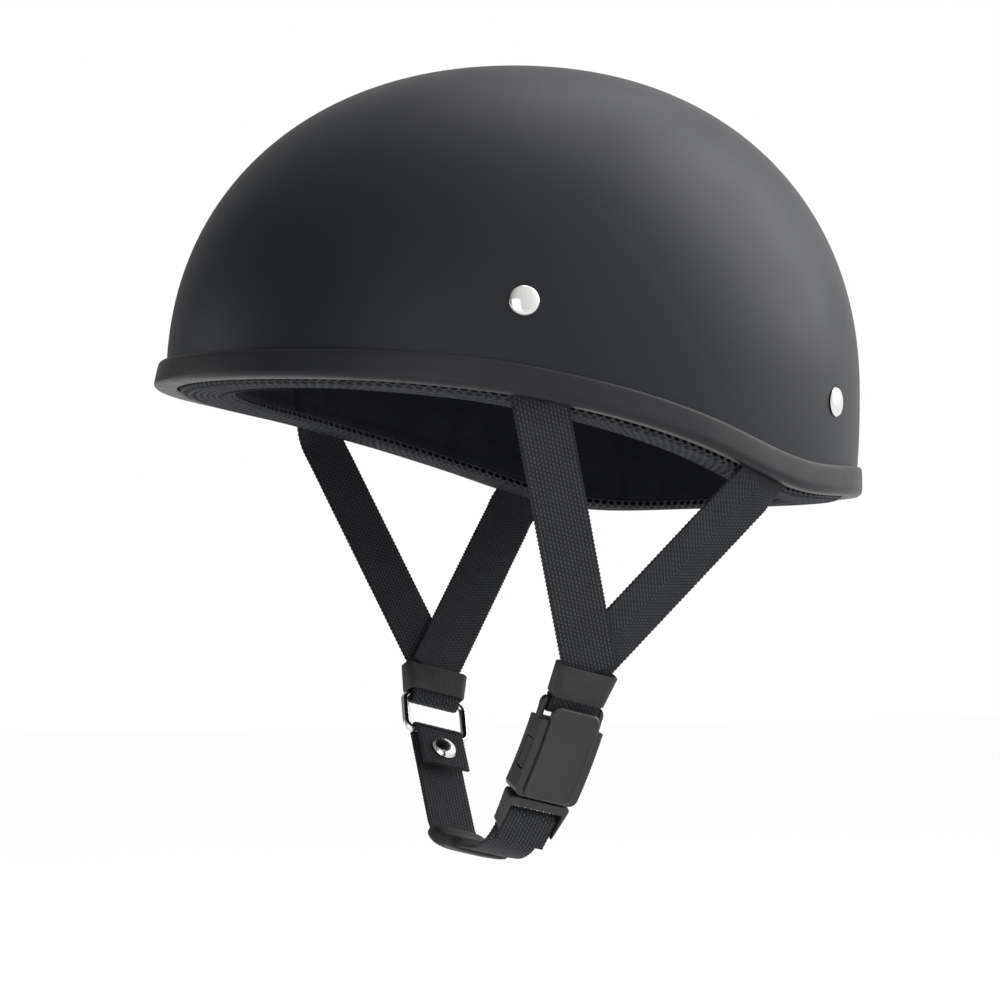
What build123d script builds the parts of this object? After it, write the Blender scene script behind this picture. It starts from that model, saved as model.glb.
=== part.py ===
# Half shell motorcycle helmet, open below the brow, with a buckled chin strap.
# Units are millimetres. The front faces -Y, the wearer's left is +X, and +Z is up.
# The origin is inside the dome, where its level section is widest.
from build123d import *
import functools
import math
import os

# Dome of the outer shell
half_width = 109
front_length = 137.3
rear_length = 129.7
crown_height = 120.4
wall_run_out = 185
dome_power = 2.17
profile_points = 16
skirt_depth = 60
cut_margin = 30

# Layers, as depths below the shell's outer face
shell_wall = 3.2
trim_cover = 2
trim_wall = 1.1
trim_height = 11
trim_sole = 3
trim_play = 0.1
layer_gap = 0.3
foam_wall = 16.5
band_wall = 4.6
crown_wall = 3
band_height = 42
mesh_wall = 1.2
mesh_leg = 7
mesh_reach = 8.4
lip_rise = -1.5

# Rim, as the lower edge of the trim seen from the side
rim_drop = 41.5
# Each row holds the share of the half length, front negative, and the share of the drop
rim_shares = [
    (-1.02, 0.06), (-0.84, 0.085), (-0.70, 0.11), (-0.54, 0.16), (-0.415, 0.212), (-0.277, 0.295),
    (-0.10, 0.42), (0.05, 0.547), (0.19, 0.68), (0.32, 0.817), (0.51, 0.954), (0.74, 0.965), (1.03, 0.955),
]

# Rivets that hold the straps, at their places along the side
front_rivet_y = -50.4
front_rivet_z = 23.2
rear_rivet_y = 84
rear_rivet_z = -6.6
rivet_head_radius = 5.4
rivet_head_rise = 1.8
rivet_shank_radius = 2
rivet_tail_radius = 3.2
rivet_tail = 0.9
rivet_play = 0.1
washer_radius = 6
washer_wall = 0.8
washer_play = 0.3

# Webbing
web_width = 20
web_wall = 1.4
web_play = 0.3
web_end = 9
fold_gap = 0.3
front_exit_y = -44.5
front_exit_z = -13.1
rear_exit_y = 44
rear_exit_z = -39
web_depth = 5.1
leg_split = 0.9

# Plane of the chin strap, which leans forward as it goes down
strap_lean = 13.3
strap_set_back = 15.9
bar_radius = 1.45
bar_half_span = 58.4
bar_drop = 116.5

# Keepers where the two legs of each strap meet
keeper_rise = 9.6
keeper_wall = 1.3
left_keeper_height = 12
left_keeper_width = 24
right_keeper_height = 11
right_keeper_width = 27
keeper_taper = 1.5
keeper_corner = 1.5
web_overlap = 2.5

# Ring on the right strap
ring_window_width = 22.4
ring_window_height = 13.2
ring_corner = 3
ring_slope = 55

# Chin strap
chin_drop = 171
chin_slope = 45
right_bend = 30
left_bend = 19
tail_length = 15

# Snap flap
flap_length = 19
flap_gap = 0.8
snap_place = 10.5
snap_cap_radius = 5
snap_cap_rise = 1.9
snap_stem_radius = 1.4
snap_ring_radius = 4.2
snap_socket_wall = 1.6
snap_socket_bore = 2.5
snap_socket_floor = 0.4
snap_base_wall = 1
snap_stud_radius = 2
snap_stud_rise = 1.5
snap_post_radius = 4.6
snap_post_wall = 1
snap_play = 0.1

# Chin pad
pad_width = 24
pad_inner = 3
pad_outer = 1.4
pad_corner = 2
pad_rise_share = 0.7
pad_flat_share = 0.5

# Side-release buckle, bent round an arc so that it follows the jaw
arc_centre_x = -54.9
arc_centre_drop = 94.7
arc_radius = 116
buckle_turn = 21.9
socket_top = 25.2
socket_mouth = 12
socket_width = 25
socket_height = 10.4
socket_corner = 3
socket_neck = 17
slot_end = 17.8
slot_play = 0.8
cavity_top = 13
cavity_half_width = 9.9
cavity_height = 5.8
window_top = 9.5
window_low = 2.5
panel_rise = 0.7
panel_top = 15
panel_low = 10
panel_half_width = 8.6
plug_gap = 0.4
plug_end = 27
plug_width = 24.6
plug_height = 7
plug_bar_radius = 1
plug_bar = 20.6
plug_slot_top = 16
tongue_half_width = 3
tongue_height = 4.4
tongue_top = 8
arm_inner = 6.8
arm_outer = 9.2
arm_head_outer = 12.4
arm_head_top = 9.1
arm_head_low = 2.1
arm_gap = 0.3


def dome_ratio(z):
    """Share of the full section that the dome keeps at height z."""
    reach = crown_height if z > 0 else wall_run_out
    return (1 - (abs(z) / reach) ** dome_power) ** (1 / dome_power)


@functools.lru_cache
def dome(depth):
    """Closed solid of the dome at a depth below the shell's outer face, down to the skirt."""
    width = half_width - depth
    height = crown_height - depth
    low = [(width * dome_ratio(-skirt_depth * k / 4), -skirt_depth * k / 4) for k in range(4, 0, -1)]
    turns = [math.pi / 2 * k / profile_points for k in range(profile_points + 1)]
    high = [(width * math.cos(t) ** (2 / dome_power), height * math.sin(t) ** (2 / dome_power)) for t in turns[:-1]]
    high.append((0, height))
    outline = Plane.XZ * Spline(low + high, tangents=[(0, 1), (-1, 0)], tangent_scalars=[1, 1])
    foot = Plane.XZ * Polyline((0, height), (0, -skirt_depth), low[0])
    section = make_face([outline, foot])
    half = revolve(section, Axis.Z, revolution_arc=180)
    rear = half if half.bounding_box().max.Y > width / 2 else Rot(0, 0, 180) * half
    front = Rot(0, 0, 180) * rear
    front = scale(front, by=(1, (front_length - depth) / width, 1))
    rear = scale(rear, by=(1, (rear_length - depth) / width, 1))
    return front + rear


def rim_line(rise):
    """Points of the rim seen from the side, raised by a distance."""
    points = []
    for along, down in rim_shares:
        reach = front_length if along < 0 else rear_length
        points.append((along * reach, rise - down * rim_drop))
    return points


def under_rim(rise):
    """Solid that fills all the space below the rim line raised by a distance."""
    points = rim_line(rise)
    first = (-front_length - cut_margin, points[0][1])
    last = (rear_length + cut_margin, points[-1][1])
    top = [Polyline(first, points[0]), Spline(points), Polyline(points[-1], last)]
    floor = -skirt_depth - cut_margin
    below = Polyline(last, (last[0], floor), (first[0], floor), first)
    face = make_face([Plane.YZ * edge for edge in top + [below]])
    return extrude(face, half_width + cut_margin, both=True)


def under_level(level):
    """Solid that fills all the space below a level plane."""
    reach = 2 * (front_length + cut_margin)
    return Pos(0, 0, level - reach / 2) * Box(reach, reach, reach)


def on_dome(y, z, depth):
    """Point of the left side of the dome at a depth, and the outward normal there."""
    length = front_length if y < 0 else rear_length
    reach = crown_height if z > 0 else wall_run_out
    ratio = dome_ratio(z)
    x = half_width * math.sqrt(ratio ** 2 - (y / length) ** 2)
    slope_z = abs(z) ** (dome_power - 1) / reach ** dome_power
    across = ratio ** (dome_power - 2)
    normal = Vector(across * x / half_width ** 2, across * y / length ** 2, math.copysign(slope_z, z))
    normal = normal.normalized()
    return Vector(x, y, z) - normal * depth, normal


def mirrored(shape):
    """The same piece on the wearer's other side."""
    return mirror(shape, about=Plane.YZ)


def strip_face(plane, target, width, gap, extra):
    """Outline of webbing that runs from the plane's origin to a point, cut square to the plane's y."""
    place = plane.to_local_coords(target)
    half = width / 2 * math.hypot(place.X, place.Y) / place.Y
    end = place.Y + extra
    lean = place.X / place.Y
    outline = Polyline(
        (gap * lean - half, gap), (gap * lean + half, gap),
        (end * lean + half, end), (end * lean - half, end), close=True,
    )
    return plane * make_face(outline)


def strip(start, along, target, gap, extra):
    """Flat webbing from a fold line to a point, both ends cut parallel to the fold line."""
    normal = along.cross(target - start).normalized()
    plane = Plane(origin=start, x_dir=along, z_dir=normal)
    return extrude(strip_face(plane, target, web_width, gap, extra), web_wall / 2, both=True)


# Fold line at the rim, where the straps leave the shell
front_exit = on_dome(front_exit_y, front_exit_z, web_depth)[0]
rear_exit = on_dome(rear_exit_y, rear_exit_z, web_depth)[0]
fold_line = (rear_exit - front_exit).normalized()

# Frame of the chin strap: x to the left, y up along the strap's plane, z forward across the webbing
lean = math.radians(strap_lean)
strap_plane = Plane(
    origin=(0, strap_set_back * math.cos(lean), -strap_set_back * math.sin(lean)),
    x_dir=(1, 0, 0), z_dir=(0, -math.cos(lean), math.sin(lean)),
)


def in_strap(x, y):
    """Point of the strap's plane in the part's frame."""
    return strap_plane.from_local_coords(Vector(x, y, 0))


def turned(angle):
    """Unit step in the strap's plane, at an angle from +X."""
    return Vector(math.cos(math.radians(angle)), math.sin(math.radians(angle)), 0)


def across(face, width):
    """Solid of a face drawn in the strap's plane, as wide as given, centred on that plane."""
    return extrude(strap_plane * face, width / 2, both=True)


# Straps' bar on the left and the direction of the keeper above it
left_bar = in_strap(bar_half_span, -bar_drop)
side_normal = fold_line.cross(left_bar - front_exit).normalized()
keeper_up = strap_plane.z_dir.cross(side_normal).normalized()
if keeper_up.Z < 0:
    keeper_up = keeper_up * -1
hairpin_plane = Plane(origin=left_bar, x_dir=keeper_up.cross(strap_plane.z_dir), z_dir=strap_plane.z_dir)
if hairpin_plane.y_dir.dot(keeper_up) < 0:
    hairpin_plane = Plane(origin=left_bar, x_dir=hairpin_plane.x_dir * -1, z_dir=strap_plane.z_dir)
web_bore = bar_radius + web_play
web_outer = web_bore + web_wall


def hairpin_face(bore, split, height):
    """Side view of webbing folded round a bar: a round end and two legs that draw together."""
    foot = Circle(bore)
    legs = Polyline((-bore, 0), (bore, 0), (split, height), (-split, height), close=True)
    return foot + make_face(legs)


def hairpin():
    """Webbing folded round the left bar, up through the keeper."""
    top = keeper_rise + left_keeper_height / 2 + web_overlap
    narrow = leg_split + web_wall / 2
    slit = leg_split - web_wall / 2
    face = hairpin_face(web_outer, narrow, top) - hairpin_face(web_bore, slit, top)
    return extrude(hairpin_plane * face, web_width / 2, both=True)


def keeper(width, height):
    """Moulded keeper: a flat tapered sleeve that holds both legs of the strap together."""
    low = keeper_rise - height / 2
    high = keeper_rise + height / 2
    top = keeper_rise + left_keeper_height / 2 + web_overlap
    passage = hairpin_face(web_outer + web_play, leg_split + web_wall / 2 + web_play, top)
    half = web_outer + web_play + keeper_wall
    side = Pos(0, keeper_rise) * RectangleRounded(2 * half, height, keeper_corner)
    block = extrude(hairpin_plane * side, width / 2, both=True)
    plan_plane = Plane(origin=left_bar, x_dir=strap_plane.z_dir, z_dir=hairpin_plane.x_dir)
    sign = 1 if plan_plane.y_dir.dot(keeper_up) > 0 else -1
    plan = Polyline(
        (-width / 2, sign * high), (width / 2, sign * high),
        (width / 2 - keeper_taper, sign * low), (-width / 2 + keeper_taper, sign * low), close=True,
    )
    block = block & extrude(plan_plane * make_face(plan), 2 * half, both=True)
    return block - extrude(hairpin_plane * passage, web_width / 2 + web_play, both=True)


def side_strap(height, width):
    """One webbing: the front leg, the fold round the bar and the rear leg."""
    meeting = left_bar + keeper_up * (keeper_rise + height / 2 + web_overlap / 2)
    outward = side_normal if side_normal.X > 0 else side_normal * -1
    front_leg = strip(front_exit, fold_line, meeting + outward * leg_split, fold_gap, web_end)
    rear_leg = strip(rear_exit, fold_line, meeting - outward * leg_split, fold_gap, web_end)
    half = web_outer + web_play + keeper_wall
    low = keeper_rise + height / 2 + web_play
    zone = Pos(0, low - cut_margin) * Rectangle(4 * half, 2 * cut_margin)
    zone = extrude(hairpin_plane * zone, width + cut_margin, both=True)
    return (front_leg - zone) + (rear_leg - zone) + hairpin()


def beside_shell(y, z, start, width, gap):
    """Prism over the webbing's run from the fold line to a rivet, seen from the side."""
    place = on_dome(y, z, web_depth)[0]
    along = Vector(0, fold_line.Y, fold_line.Z)
    plane = Plane(origin=(half_width, start.Y, start.Z), x_dir=along, z_dir=(1, 0, 0))
    face = strip_face(plane, Vector(half_width, place.Y, place.Z), width, gap, web_end)
    return extrude(face, half_width / 2, both=True)


def strap_end(y, z, start):
    """Webbing laid against the inside of the shell, from the rivet down to the fold line."""
    layer = dome(web_depth - web_wall / 2) - dome(web_depth + web_wall / 2)
    place, normal = on_dome(y, z, web_depth)
    hole = Plane(origin=place, z_dir=normal) * Cylinder(rivet_shank_radius + rivet_play, cut_margin)
    return (layer & beside_shell(y, z, start, web_width, fold_gap)) - hole


def rivet(y, z):
    """Domed rivet head outside the shell, its shank and its closed tail."""
    place, normal = on_dome(y, z, 0)
    plane = Plane(origin=place, z_dir=normal)
    rim = rivet_head_radius
    rise = rivet_head_rise
    ball = (rim ** 2 + rise ** 2) / (2 * rise)
    head = Pos(0, 0, rise - ball) * Sphere(ball)
    head = head & Pos(0, 0, rise / 2 + rivet_play) * Cylinder(rim, rise)
    length = web_depth + web_wall / 2 + washer_play + washer_wall + rivet_play + rivet_tail
    shank = Pos(0, 0, rise / 2 - (length + rise / 2) / 2) * Cylinder(rivet_shank_radius, length + rise / 2)
    tail = Pos(0, 0, -length + rivet_tail / 2) * Cylinder(rivet_tail_radius, rivet_tail)
    return plane * (head + shank + tail)


def washer(y, z):
    """Flat washer between the webbing and the rivet's tail."""
    place, normal = on_dome(y, z, web_depth + web_wall / 2 + washer_play)
    ring = Cylinder(washer_radius, washer_wall) - Cylinder(rivet_shank_radius + rivet_play, cut_margin)
    return Plane(origin=place - normal * (washer_wall / 2), z_dir=normal) * ring


def strap_channel(y, z, start):
    """Room in the foam for the webbing, the washer and the rivet's tail."""
    room = dome(0) - dome(web_depth + web_wall / 2 + web_play)
    room = room & beside_shell(y, z, start, web_width + 2 * web_play, -web_end)
    place, normal = on_dome(y, z, web_depth)
    depth = web_wall / 2 + washer_play + washer_wall + rivet_play + rivet_tail + layer_gap
    pocket = Plane(origin=place, z_dir=normal) * Cylinder(washer_radius + layer_gap, 2 * depth)
    return room + pocket


def outer_shell():
    """Hard dome of constant wall with its four rivet holes."""
    body = dome(0) - dome(shell_wall) - under_rim(trim_sole)
    for y, z in rivet_places:
        place, normal = on_dome(y, z, shell_wall / 2)
        hole = Plane(origin=place, z_dir=normal) * Cylinder(rivet_shank_radius + rivet_play, cut_margin)
        body = body - hole - mirrored(hole)
    return body


def edge_trim():
    """Rubber channel round the rim, with the shell's edge in its groove."""
    band = dome(-trim_cover) - dome(shell_wall + trim_wall)
    band = band - under_rim(0)
    band = band & under_rim(trim_height)
    groove = dome(-trim_play) - dome(shell_wall + trim_play) - under_rim(trim_sole - trim_play)
    return band - groove


def foam_liner():
    """Impact foam, pressed into the dome, relieved for the trim and the straps."""
    outer = shell_wall + layer_gap
    inner = outer + foam_wall
    floor = lip_rise + mesh_wall + layer_gap
    body = dome(outer) - dome(inner) - under_rim(floor)
    relief = (dome(0) - dome(mesh_reach)) & under_rim(trim_height + layer_gap)
    body = body - relief
    for (y, z), start in zip(rivet_places, exits):
        room = strap_channel(y, z, start)
        body = body - room - mirrored(room)
    return body


def lining_depth():
    """Depth of the face where the lining meets the foam."""
    return shell_wall + 2 * layer_gap + foam_wall


def lining_band():
    """Padded fabric band round the sides of the head."""
    outer = lining_depth()
    body = dome(outer) - dome(outer + band_wall) - under_rim(lip_rise + mesh_wall + layer_gap)
    return body & under_level(band_height)


def crown_lining():
    """Fabric lining over the crown of the head."""
    outer = lining_depth()
    return dome(outer) - dome(outer + crown_wall) - under_level(band_height + layer_gap)


def mesh_band():
    """Open mesh that closes the lower edge of the foam and turns up inside the lining."""
    inner = lining_depth() + band_wall + layer_gap
    sole = (dome(mesh_reach) - dome(inner + mesh_wall)) - under_rim(lip_rise)
    sole = sole & under_rim(lip_rise + mesh_wall)
    leg = (dome(inner) - dome(inner + mesh_wall)) - under_rim(lip_rise)
    leg = leg & under_rim(lip_rise + mesh_wall + mesh_leg)
    return sole + leg


# Ring bars in the strap's plane
upper_bar = Vector(-bar_half_span, -bar_drop, 0)
ring_pitch = ring_window_height + 2 * bar_radius
lower_bar = upper_bar + turned(-ring_slope) * ring_pitch


def ring():
    """Rectangular ring of round wire."""
    middle = (upper_bar + lower_bar) * 0.5
    normal = turned(90 - ring_slope)
    origin = strap_plane.from_local_coords(middle)
    z_dir = strap_plane.from_local_coords(normal) - strap_plane.origin
    plane = Plane(origin=origin, x_dir=strap_plane.z_dir, z_dir=z_dir)
    path = RectangleRounded(ring_window_width + 2 * bar_radius, ring_pitch, ring_corner).wire()
    path = plane * path
    section = Plane(origin=path @ 0, z_dir=path % 0) * Circle(bar_radius)
    return sweep(section, path)


# Run of the chin strap in its plane
web_offset = web_bore + web_wall / 2
run = turned(-chin_slope)
run_out = turned(-chin_slope - 90)
plug_offset = plug_bar_radius + web_play + web_wall / 2
arc_centre = Vector(arc_centre_x, -arc_centre_drop, 0)


def arc_angle(length):
    """Angle from +X at a place along the buckle's arc."""
    return -buckle_turn - math.degrees(length / arc_radius)


def on_arc(length, rise):
    """Point beside the buckle's arc: its place along the arc and its rise outward from it."""
    return arc_centre + turned(arc_angle(length)) * (arc_radius + rise)


def along_arc(length):
    """Direction of the buckle's arc, downward, at a place along it."""
    return turned(arc_angle(length) - 90)


def chin_path():
    """Middle line of the chin webbing, as tangent lines and arcs."""
    start = lower_bar + run_out * web_offset
    first_drop = right_bend * (1 - math.cos(math.radians(chin_slope)))
    run_length = (start.Y + chin_drop - first_drop) / math.sin(math.radians(chin_slope))
    bend_in = start + run * run_length
    bend_out = Vector(bend_in.X + right_bend * math.sin(math.radians(chin_slope)), -chin_drop, 0)
    down = along_arc(plug_bar)
    outward = turned(arc_angle(plug_bar))
    bar = on_arc(plug_bar, 0)
    end = bar - outward * plug_offset
    steep = math.degrees(math.atan2(-down.Y, -down.X))
    last_drop = left_bend * (1 - math.cos(math.radians(steep)))
    last_length = (end.Y + chin_drop - last_drop) / math.sin(math.radians(steep))
    left_in = end + down * last_length
    left_out = Vector(left_in.X - left_bend * math.sin(math.radians(steep)), -chin_drop, 0)
    top = lower_bar - run * web_offset
    pieces = [
        ThreePointArc(lower_bar - run_out * web_offset, top, start),
        Line(start, bend_in),
        JernArc(bend_in, run, right_bend, chin_slope),
        Line(bend_out, left_out),
        JernArc(left_out, (1, 0), left_bend, steep),
        Line(left_in, end),
        ThreePointArc(end, bar - down * plug_offset, bar + outward * plug_offset),
        Line(bar + outward * plug_offset, bar + outward * plug_offset + down * tail_length),
    ]
    return pieces


def swept(pieces, width, low, high):
    """Flat band of a width along a path in the strap's plane, between two offsets from it."""
    path = Wire(pieces)
    place = path @ 0
    direction = path % 0
    side = Vector(direction.Y, -direction.X, 0)
    start = place + side * ((low + high) / 2)
    plane = Plane(origin=start, x_dir=(0, 0, 1), z_dir=direction)
    section = plane * Rectangle(width, high - low)
    return strap_plane * sweep(section, path)


def snap_plane(rise):
    """Frame of the snap: its centre line square to the flap, at a rise inward from the strap's bar line."""
    centre = lower_bar + run * snap_place - run_out * rise
    origin = strap_plane.from_local_coords(centre)
    z_dir = strap_plane.from_local_coords(run_out * -1) - strap_plane.origin
    return Plane(origin=origin, x_dir=strap_plane.z_dir, z_dir=z_dir)


def chin_strap():
    """Webbing from the ring, under the chin, round the plug's bar and back as a tail."""
    body = swept(chin_path(), web_width, -web_wall / 2, web_wall / 2)
    hole = snap_plane(-web_offset) * Cylinder(snap_stem_radius + snap_play, cut_margin)
    return body - hole


def snap_flap():
    """Free end of the webbing, folded round the ring and snapped onto the strap."""
    start = lower_bar - run_out * web_offset + run * flap_gap
    body = swept([Line(start, start + run * (flap_length - flap_gap))], web_width, -web_wall / 2, web_wall / 2)
    hole = snap_plane(web_offset) * Cylinder(snap_stem_radius + snap_play, cut_margin)
    return body - hole


def snap_cap():
    """Domed cap of the snap with its stem through the flap."""
    ball = (snap_cap_radius ** 2 + snap_cap_rise ** 2) / (2 * snap_cap_rise)
    dome_cap = Pos(0, 0, snap_cap_rise - ball) * Sphere(ball)
    dome_cap = dome_cap & Pos(0, 0, snap_cap_rise / 2) * Cylinder(snap_cap_radius, snap_cap_rise)
    length = web_wall + snap_play + snap_socket_floor
    stem = Pos(0, 0, -length / 2) * Cylinder(snap_stem_radius, length)
    return snap_plane(web_offset + web_wall / 2 + snap_play) * (dome_cap + stem)


def snap_socket():
    """Sprung socket under the flap, open toward the stud."""
    body = Cylinder(snap_ring_radius, snap_socket_wall)
    recess = Pos(0, 0, -snap_socket_floor) * Cylinder(snap_socket_bore, snap_socket_wall)
    bore = Cylinder(snap_stem_radius + snap_play / 2, cut_margin)
    return snap_plane(web_bore - snap_play - snap_socket_wall / 2) * (body - recess - bore)


def snap_stud():
    """Stud on the strap with its round head in the socket."""
    body = Cylinder(snap_ring_radius, snap_base_wall)
    knob = Pos(0, 0, snap_stud_rise / 2) * Cylinder(snap_stud_radius, snap_base_wall + snap_stud_rise)
    bore = Cylinder(snap_stem_radius + snap_play / 2, cut_margin)
    return snap_plane(-web_bore + snap_play + snap_base_wall / 2) * (body + knob - bore)


def snap_post():
    """Post whose flange lies on the outer face of the strap and whose stem holds the stud."""
    flange = Pos(0, 0, -snap_post_wall / 2) * Cylinder(snap_post_radius, snap_post_wall)
    length = web_wall + 2 * snap_play + snap_base_wall
    stem = Pos(0, 0, length / 2) * Cylinder(snap_stem_radius, length)
    return snap_plane(-web_offset - web_wall / 2 - snap_play) * (flange + stem)


def chin_pad():
    """Soft padded sleeve on the webbing under the chin."""
    pieces = chin_path()
    lead = pieces[2].trim(1 - pad_rise_share, 1)
    path = Wire([lead, pieces[3].trim(0, pad_flat_share)])
    direction = path % 0
    side = Vector(direction.Y, -direction.X, 0)
    start = path @ 0 + side * ((pad_outer - pad_inner) / 2)
    plane = Plane(origin=start, x_dir=(0, 0, 1), z_dir=direction)
    section = plane * RectangleRounded(pad_width, pad_inner + pad_outer + web_wall, pad_corner)
    room = Plane(origin=path @ 0, x_dir=(0, 0, 1), z_dir=direction)
    slot = room * Rectangle(web_width + 2 * web_play, web_wall + 2 * web_play)
    return strap_plane * (sweep(section, path) - sweep(slot, path))


def arc_block(top, low, height, width):
    """Block bent along the buckle's arc, between two places along it."""
    corners = [on_arc(top, -height / 2), on_arc(top, height / 2), on_arc(low, height / 2), on_arc(low, -height / 2)]
    middle = (top + low) / 2
    outline = [
        Line(corners[0], corners[1]),
        ThreePointArc(corners[1], on_arc(middle, height / 2), corners[2]),
        Line(corners[2], corners[3]),
        ThreePointArc(corners[3], on_arc(middle, -height / 2), corners[0]),
    ]
    return across(make_face(outline), width)


def plan_block(top, low, half_width_top, half_width_low, corner):
    """Block with a plan outline seen square to the buckle, rounded at its corners."""
    middle = (top + low) / 2
    origin = strap_plane.from_local_coords(on_arc(middle, 0))
    z_dir = strap_plane.from_local_coords(turned(arc_angle(middle))) - strap_plane.origin
    plane = Plane(origin=origin, x_dir=strap_plane.z_dir, z_dir=z_dir)
    down = strap_plane.from_local_coords(along_arc(middle)) - strap_plane.origin
    sign = 1 if plane.y_dir.dot(down) > 0 else -1
    half = (low - top) / 2
    outline = Polyline(
        (-half_width_top, -half * sign), (half_width_top, -half * sign),
        (half_width_low, half * sign), (-half_width_low, half * sign), close=True,
    )
    face = fillet(make_face(outline).vertices(), corner)
    return extrude(plane * face, cut_margin, both=True)


def moved_across(solid, distance):
    """Solid shifted across the webbing."""
    return Pos(strap_plane.z_dir * distance) * solid


def buckle_bar(place, radius, width):
    """Round bar across the buckle."""
    centre = on_arc(place, 0)
    return across(Pos(centre.X, centre.Y) * Circle(radius), width)


def buckle_socket():
    """Female half: a flat box with side windows, a mouth and a bar for the left strap."""
    plan = plan_block(-socket_top, socket_mouth, socket_width / 2, socket_width / 2, socket_corner)
    body = arc_block(-socket_neck, socket_mouth, socket_height, socket_width)
    neck = arc_block(-socket_top, -socket_neck, 2 * bar_radius, socket_width)
    panel = arc_block(-panel_top, panel_low, socket_height + 2 * panel_rise, 2 * panel_half_width)
    body = (body + neck + panel) & plan
    slot_width = web_width + 2 * slot_play
    room = arc_block(-socket_top - cut_margin, -slot_end, socket_height * 2, slot_width)
    cavity = arc_block(-cavity_top, socket_mouth + cut_margin, cavity_height, 2 * cavity_half_width)
    window = arc_block(-window_top, window_low, cavity_height, socket_width + cut_margin)
    bar = across(Pos(bar_half_span, -bar_drop) * Circle(bar_radius), slot_width + socket_corner)
    return (body - room - cavity - window) + bar


def buckle_plug():
    """Male half: a frame with the webbing's bar and the tongue that guides it into the socket."""
    top = socket_mouth + plug_gap
    plan = plan_block(top, plug_end, plug_width / 2, plug_width / 2 - socket_corner / 2, socket_corner / 2)
    body = arc_block(top, plug_end, plug_height, plug_width) & plan
    slot = arc_block(plug_slot_top, plug_end + cut_margin, plug_height * 2, web_width + slot_play)
    tongue = arc_block(-tongue_top, top + plug_gap, tongue_height, 2 * tongue_half_width)
    bar = buckle_bar(plug_bar, plug_bar_radius, plug_width - socket_corner)
    return (body - slot) + tongue + bar


def release_arm(side):
    """Springy prong whose head catches in the socket's window and is pressed to open it."""
    root = socket_mouth + plug_gap - arm_gap
    prong = arc_block(-arm_head_top, root, tongue_height, arm_outer - arm_inner)
    head = arc_block(-arm_head_top, arm_head_low, tongue_height, arm_head_outer - arm_inner)
    prong = moved_across(prong, side * (arm_outer + arm_inner) / 2)
    head = moved_across(head, side * (arm_head_outer + arm_inner) / 2)
    return prong + head


rivet_places = [(front_rivet_y, front_rivet_z), (rear_rivet_y, rear_rivet_z)]
exits = [front_exit, rear_exit]


def all_parts():
    """Every piece of the helmet by its name."""
    parts = {
        "outer_shell": outer_shell(),
        "edge_trim": edge_trim(),
        "foam_liner": foam_liner(),
        "lining_band": lining_band(),
        "crown_lining": crown_lining(),
        "mesh_band": mesh_band(),
    }
    for end, (y, z), start in zip(["front", "rear"], rivet_places, exits):
        for kind, shape in [("rivet", rivet(y, z)), ("washer", washer(y, z)), ("strap_end", strap_end(y, z, start))]:
            parts["left_" + end + "_" + kind] = shape
            parts["right_" + end + "_" + kind] = mirrored(shape)
    parts["left_strap"] = side_strap(left_keeper_height, left_keeper_width)
    parts["right_strap"] = mirrored(side_strap(right_keeper_height, right_keeper_width))
    parts["left_keeper"] = keeper(left_keeper_width, left_keeper_height)
    parts["right_keeper"] = mirrored(keeper(right_keeper_width, right_keeper_height))
    parts["ring"] = ring()
    parts["chin_strap"] = chin_strap()
    parts["snap_flap"] = snap_flap()
    parts["snap_cap"] = snap_cap()
    parts["snap_socket"] = snap_socket()
    parts["snap_stud"] = snap_stud()
    parts["snap_post"] = snap_post()
    parts["chin_pad"] = chin_pad()
    parts["buckle_socket"] = buckle_socket()
    parts["buckle_plug"] = buckle_plug()
    parts["front_release_arm"] = release_arm(1)
    parts["rear_release_arm"] = release_arm(-1)
    return parts


os.makedirs("parts", exist_ok=True)
for name, shape in all_parts().items():
    export_step(shape, "parts/" + name + ".step")
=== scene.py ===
import math

import bmesh
import bpy
import numpy as np
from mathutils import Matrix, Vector


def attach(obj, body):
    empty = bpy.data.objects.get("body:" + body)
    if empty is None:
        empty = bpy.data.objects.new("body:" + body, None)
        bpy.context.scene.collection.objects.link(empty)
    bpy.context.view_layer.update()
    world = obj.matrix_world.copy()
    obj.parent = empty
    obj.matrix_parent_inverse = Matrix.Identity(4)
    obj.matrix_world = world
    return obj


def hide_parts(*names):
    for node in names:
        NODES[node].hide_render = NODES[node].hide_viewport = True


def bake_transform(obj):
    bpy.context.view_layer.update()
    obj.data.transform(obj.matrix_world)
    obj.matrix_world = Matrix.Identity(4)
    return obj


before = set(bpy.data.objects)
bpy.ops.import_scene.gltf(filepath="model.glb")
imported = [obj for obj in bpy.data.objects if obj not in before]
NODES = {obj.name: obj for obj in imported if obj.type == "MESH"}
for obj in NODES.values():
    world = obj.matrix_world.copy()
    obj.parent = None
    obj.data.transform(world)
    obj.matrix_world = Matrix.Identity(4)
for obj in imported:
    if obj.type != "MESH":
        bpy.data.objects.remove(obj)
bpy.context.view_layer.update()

# All sizes below are millimetres and degrees, and repeat the CAD model's where it has them
MM = 0.001

# Dome of the shell: half sizes at its widest level, height above it, and where its wall would run out below
HALF_WIDTH = 109.0
FRONT_LENGTH = 137.3
REAR_LENGTH = 129.7
CROWN_HEIGHT = 120.4
WALL_RUN_OUT = 185.0
POWER = 2.17
SHELL_WALL = 3.2
SHELL_COLUMNS = 360

# Rim seen from the side: shares of the half length, front negative, and of the drop
RIM_DROP = 41.5
RIM_SHARES = np.array([
    (-1.02, 0.06), (-0.84, 0.085), (-0.70, 0.11), (-0.54, 0.16), (-0.415, 0.212), (-0.277, 0.295),
    (-0.10, 0.42), (0.05, 0.547), (0.19, 0.68), (0.32, 0.817), (0.51, 0.954), (0.74, 0.965), (1.03, 0.955),
])

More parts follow.
